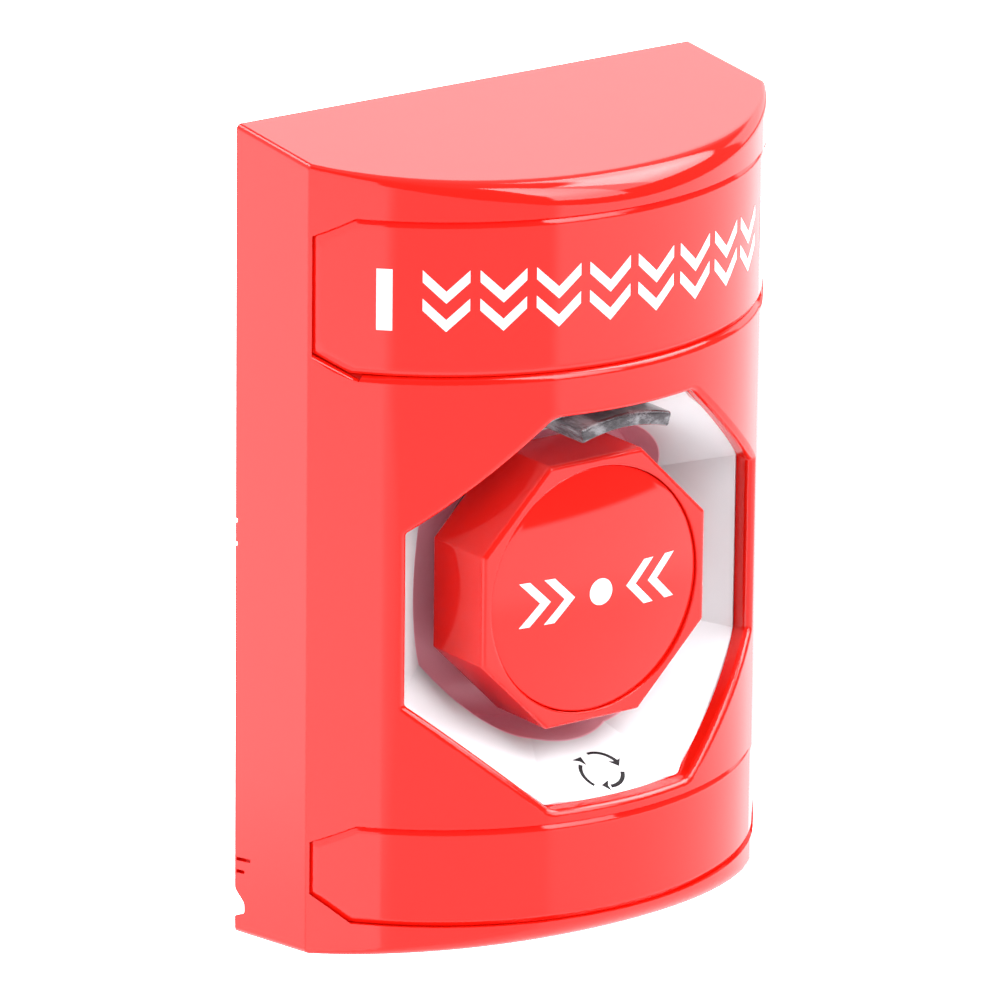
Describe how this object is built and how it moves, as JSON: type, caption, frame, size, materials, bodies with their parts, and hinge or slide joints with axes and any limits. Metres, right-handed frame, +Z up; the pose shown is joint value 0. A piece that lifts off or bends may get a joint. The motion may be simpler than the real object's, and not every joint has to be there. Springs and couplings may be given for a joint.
{
  "type": "emergency push button",
  "caption": "Wall-mounted emergency push button: bowed red housing, white funnel bezel, octagonal turn-to-reset button, status light bar and contact blocks behind.",
  "frame": {"origin": "on the wall plane, midway between the two box screw holes", "axes": "+Z up the wall, +X to the right seen from the front, +Y into the wall, so the button faces -Y"},
  "size_m": [0.081, 0.0646, 0.122],
  "materials": {
    "red_housing": "high gloss moulded",
    "red_label": "gloss label strip with white print",
    "white_insert": "satin moulded",
    "spring_steel": "bright spring steel",
    "zinc_steel": "zinc plated",
    "smoked_lens": "polished clear smoked plastic",
    "black_plastic": "moulded",
    "circuit_board": "solder mask",
    "led_body": "clear diffused",
    "green_connector": "moulded",
    "red_button": "high gloss moulded",
    "red_disc": "high gloss with white print",
    "grey_plastic": "glass filled nylon",
    "rubber_seal": "moulded ring",
    "red_contact_block": "moulded",
    "green_contact_block": "moulded",
    "clear_lid": "moulded",
    "white_nylon": "moulded nylon",
    "contact_brass": "stamped, silver tips",
    "green_screw": "green passivated"
  },
  "bodies": {
    "root": {"front_cover": "red_housing", "label_plate": "red_label", "lower_label_plate": "red_label", "bezel_insert": "white_insert", "insert_push_nuts": "spring_steel", "board_screws": "zinc_steel", "status_lens": "smoked_lens", "light_guide_holder": "black_plastic", "led_board": "circuit_board", "status_leds": "led_body", "board_connector": "green_connector", "return_spring": "spring_steel", "operator_housing": "black_plastic", "operator_gasket": "rubber_seal", "lock_nut": "grey_plastic", "contact_carrier": "grey_plastic", "nc_contact_housing": "red_contact_block", "nc_contact_lid": "clear_lid", "no_contact_housing": "green_contact_block", "no_contact_lid": "clear_lid", "fixed_contacts": "contact_brass", "terminal_screws": "zinc_steel", "terminal_clamps": "zinc_steel", "backplate": "zinc_steel", "ground_screw": "green_screw"},
    "plunger": {"stem": "grey_plastic", "head_retaining_clip": "spring_steel", "actuator_plate": "zinc_steel", "actuator_screw": "zinc_steel", "nc_contact_plunger": "white_nylon", "no_contact_plunger": "white_nylon", "nc_moving_bridge": "contact_brass", "no_moving_bridge": "contact_brass", "bridge_springs": "spring_steel"},
    "button_head": {"button_cap": "red_button", "button_face_disc": "red_disc", "cam_ring": "black_plastic"}
  },
  "joints": [
    {"name": "button_push", "type": "slide", "parent": "root", "child": "plunger", "axis": [0, 1, 0], "range_m": [0, 0.005], "stiffness_N_per_m": 1500, "springref_m": -0.005, "deforming": ["return_spring"]},
    {"name": "button_turn", "type": "hinge", "parent": "plunger", "child": "button_head", "pos_m": [0, -0.03, -0.00725], "axis": [0, 1, 0], "range_deg": [0, 45], "stiffness_Nm_per_rad": 0.05, "springref_deg": -5.73}
  ]
}
